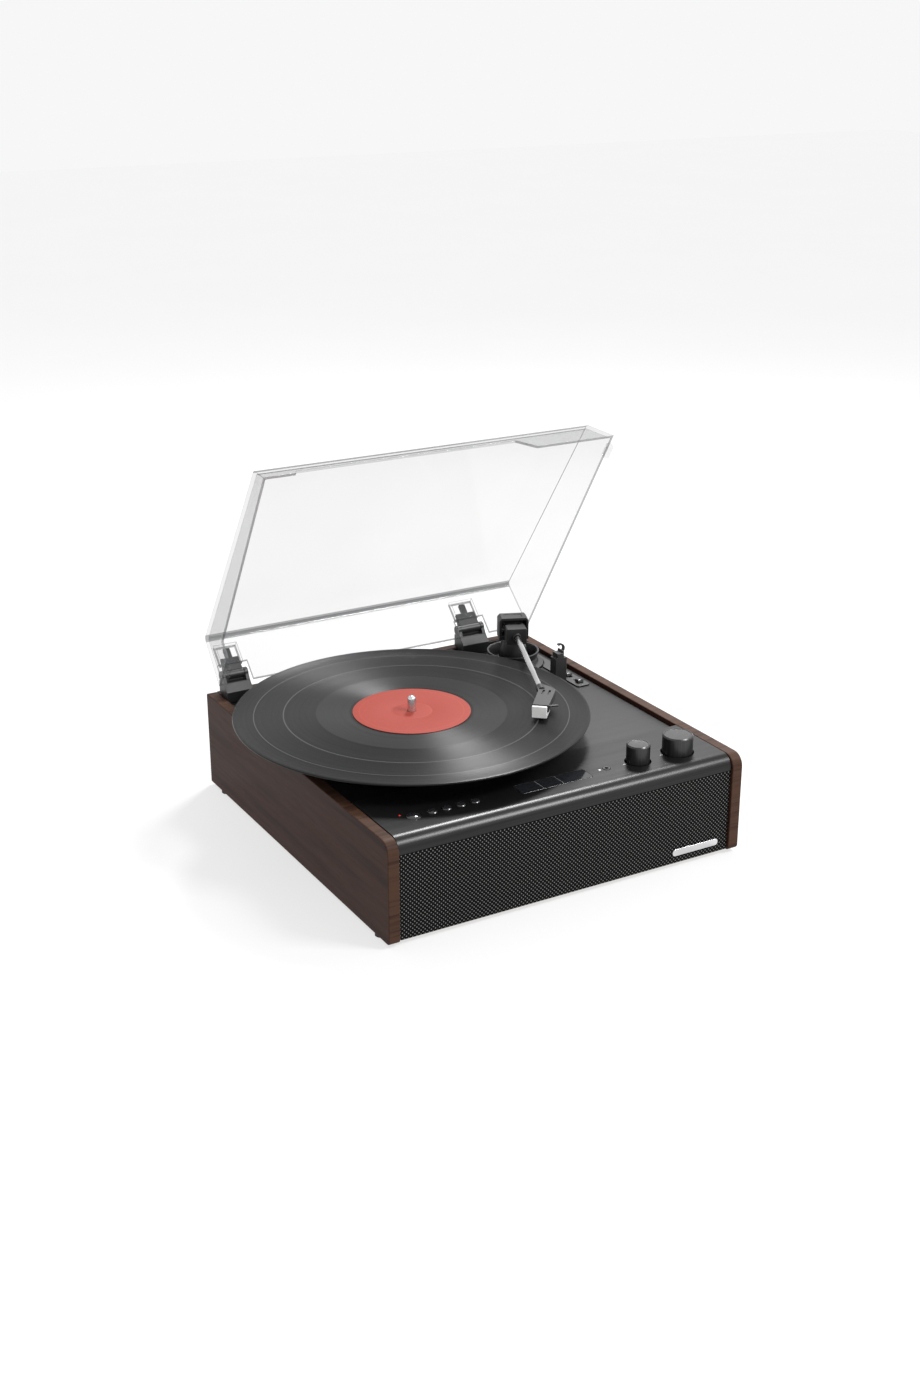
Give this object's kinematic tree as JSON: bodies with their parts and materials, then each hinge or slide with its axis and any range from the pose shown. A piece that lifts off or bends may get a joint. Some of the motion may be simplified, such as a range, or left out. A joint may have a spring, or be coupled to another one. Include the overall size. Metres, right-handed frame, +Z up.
{
  "type": "table-top record player",
  "caption": "Table-top record player with wooden sides, front control panel, straight tonearm and a hinged clear dust cover, shown open.",
  "frame": {"origin": "centre of the base board's underside, level with the bottom edges of the side panels", "axes": "+Z up, +X to the right along the front, +Y to the back; the flat underside faces -Z"},
  "size_m": [0.3645, 0.3605, 0.3187],
  "materials": {
    "walnut": "satin",
    "fibreboard": "matte",
    "deck_metal": "satin",
    "brushed_metal": "brushed",
    "black_plastic": "matte",
    "gloss_black": "gloss",
    "cloth": "matte",
    "steel": "brushed",
    "rubber": "matte",
    "vinyl": "gloss",
    "label_paper": "matte",
    "circuit": "matte",
    "clear_acrylic": "gloss",
    "ivory_plastic": "gloss"
  },
  "bodies": {
    "cabinet": {"side_panel_left": "walnut", "side_panel_right": "walnut", "rear_panel": "walnut", "base_board": "fibreboard", "deck_batten_left": "fibreboard", "speaker_left": "black_plastic", "deck_batten_right": "fibreboard", "speaker_right": "black_plastic", "front_baffle": "fibreboard", "grille_panel": "cloth", "badge": "steel", "foot_front_left": "rubber", "foot_front_right": "rubber", "foot_rear_left": "rubber", "foot_rear_right": "rubber", "deck_plate": "deck_metal", "control_panel": "brushed_metal", "display_window": "gloss_black", "headphone_jack": "black_plastic", "control_board": "circuit", "motor": "steel", "drive_belt": "rubber", "bearing_housing": "steel", "tonearm_base": "black_plastic", "arm_rest": "black_plastic", "switch_plate": "black_plastic", "hinge_base_left": "black_plastic", "hinge_base_right": "black_plastic", "main_board": "circuit", "power_inlet": "black_plastic", "audio_outputs": "black_plastic"},
    "turntable": {"platter": "black_plastic", "platter_mat": "rubber", "spindle": "steel", "record": "vinyl", "record_label": "label_paper"},
    "pulley": {"motor_pulley": "steel"},
    "arm_turret": {"tonearm_turret": "black_plastic", "turret_hood": "black_plastic"},
    "tonearm": {"arm_block": "black_plastic", "counterweight": "steel", "arm_tube": "steel", "headshell": "black_plastic", "cartridge": "ivory_plastic", "stylus": "black_plastic"},
    "arm_clip_body": {"arm_clip": "black_plastic"},
    "speed_slider": {"speed_switch": "gloss_black"},
    "auto_stop_slider": {"auto_stop_switch": "gloss_black"},
    "cover": {"dust_cover": "clear_acrylic", "cover_bumper_right": "clear_acrylic", "cover_bumper_left": "clear_acrylic", "hinge_leaf_left": "black_plastic", "hinge_leaf_right": "black_plastic"},
    "power_key": {"power_button": "gloss_black"},
    "function_key_1": {"function_button_1": "gloss_black"},
    "function_key_2": {"function_button_2": "gloss_black"},
    "function_key_3": {"function_button_3": "gloss_black"},
    "function_key_4": {"function_button_4": "gloss_black"},
    "tone_dial": {"tone_knob": "brushed_metal"},
    "volume_dial": {"volume_knob": "brushed_metal"}
  },
  "joints": [
    {"name": "cover_hinge", "type": "hinge", "parent": "cabinet", "child": "cover", "pos_m": [0, 0.164, 0.1035], "axis": [-1, 0, 0], "range_deg": [-58, 0]},
    {"name": "platter_spin", "type": "hinge", "parent": "cabinet", "child": "turntable", "pos_m": [-0.0482, 0.0044, 0.09], "axis": [0, 0, -1], "continuous": true},
    {"name": "pulley_spin", "type": "hinge", "parent": "cabinet", "child": "pulley", "pos_m": [-0.1062, 0.0624, 0.09], "axis": [0, 0, -1], "continuous": true},
    {"name": "tonearm_swing", "type": "hinge", "parent": "cabinet", "child": "arm_turret", "pos_m": [0.117, 0.11, 0.1], "axis": [0, 0, 1], "range_deg": [-15, 28.3]},
    {"name": "tonearm_lift", "type": "hinge", "parent": "arm_turret", "child": "tonearm", "pos_m": [0.117, 0.11, 0.1163], "axis": [-0.9225, 0.3859, 0], "range_deg": [0, 10]},
    {"name": "clip_swing", "type": "hinge", "parent": "cabinet", "child": "arm_clip_body", "pos_m": [0.124, 0.0504, 0.1065], "axis": [0, 1, 0], "range_deg": [-45, 0]},
    {"name": "tone_turn", "type": "hinge", "parent": "cabinet", "child": "tone_dial", "pos_m": [0.0825, -0.1413, 0.094], "axis": [0, 0, -1], "range_deg": [-135, 135]},
    {"name": "volume_turn", "type": "hinge", "parent": "cabinet", "child": "volume_dial", "pos_m": [0.1222, -0.1413, 0.094], "axis": [0, 0, -1], "range_deg": [-135, 135]},
    {"name": "power_press", "type": "slide", "parent": "cabinet", "child": "power_key", "axis": [0, 0, -1], "range_m": [0, 0.0012], "stiffness_N_per_m": 300},
    {"name": "function_press_1", "type": "slide", "parent": "cabinet", "child": "function_key_1", "axis": [0, 0, -1], "range_m": [0, 0.0012], "stiffness_N_per_m": 300},
    {"name": "function_press_2", "type": "slide", "parent": "cabinet", "child": "function_key_2", "axis": [0, 0, -1], "range_m": [0, 0.0012], "stiffness_N_per_m": 300},
    {"name": "function_press_3", "type": "slide", "parent": "cabinet", "child": "function_key_3", "axis": [0, 0, -1], "range_m": [0, 0.0012], "stiffness_N_per_m": 300},
    {"name": "function_press_4", "type": "slide", "parent": "cabinet", "child": "function_key_4", "axis": [0, 0, -1], "range_m": [0, 0.0012], "stiffness_N_per_m": 300},
    {"name": "speed_slide", "type": "slide", "parent": "cabinet", "child": "speed_slider", "axis": [0, 1, 0], "range_m": [-0.0033, 0.0033]},
    {"name": "auto_stop_slide", "type": "slide", "parent": "cabinet", "child": "auto_stop_slider", "axis": [0, 1, 0], "range_m": [0, 0.005]}
  ],
  "couplings": [
    {"joint": "pulley_spin", "follows": "platter_spin", "ratio": 10.207}
  ]
}
